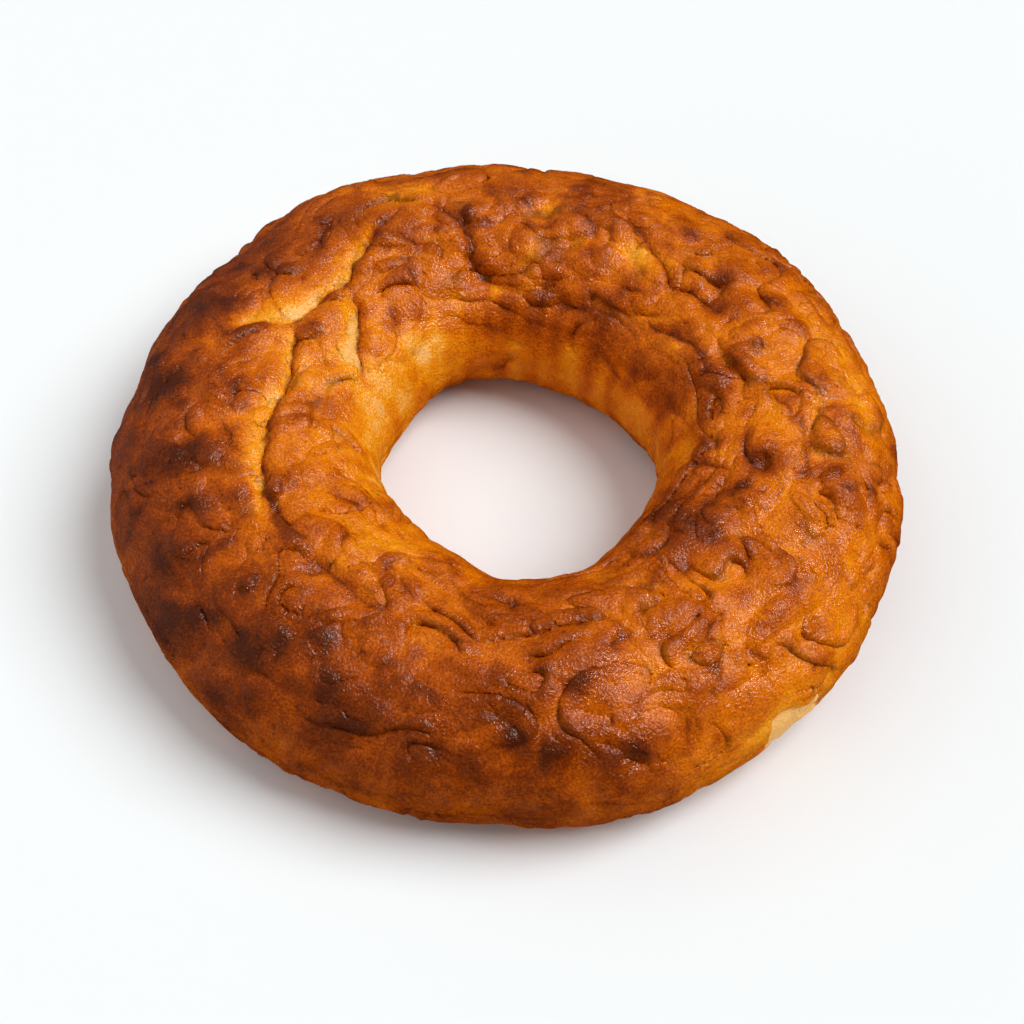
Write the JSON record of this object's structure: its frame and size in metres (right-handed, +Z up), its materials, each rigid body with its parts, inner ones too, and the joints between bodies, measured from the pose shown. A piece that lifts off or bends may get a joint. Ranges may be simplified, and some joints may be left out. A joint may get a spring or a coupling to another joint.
{
  "type": "bread ring",
  "caption": "Soft ring of bread with a browned, blistered and wrinkled crust, a split along its crown and an open middle.",
  "frame": {"origin": "middle of the ring's box, on the surface that the ring lies on", "axes": "+Z up through the hole; +X to the right and +Y away from the viewer of the picture"},
  "size_m": [0.129, 0.1312, 0.0294],
  "materials": {
    "crust": null
  },
  "bodies": {
    "root": {"bread_ring": "crust"}
  },
  "joints": []
}
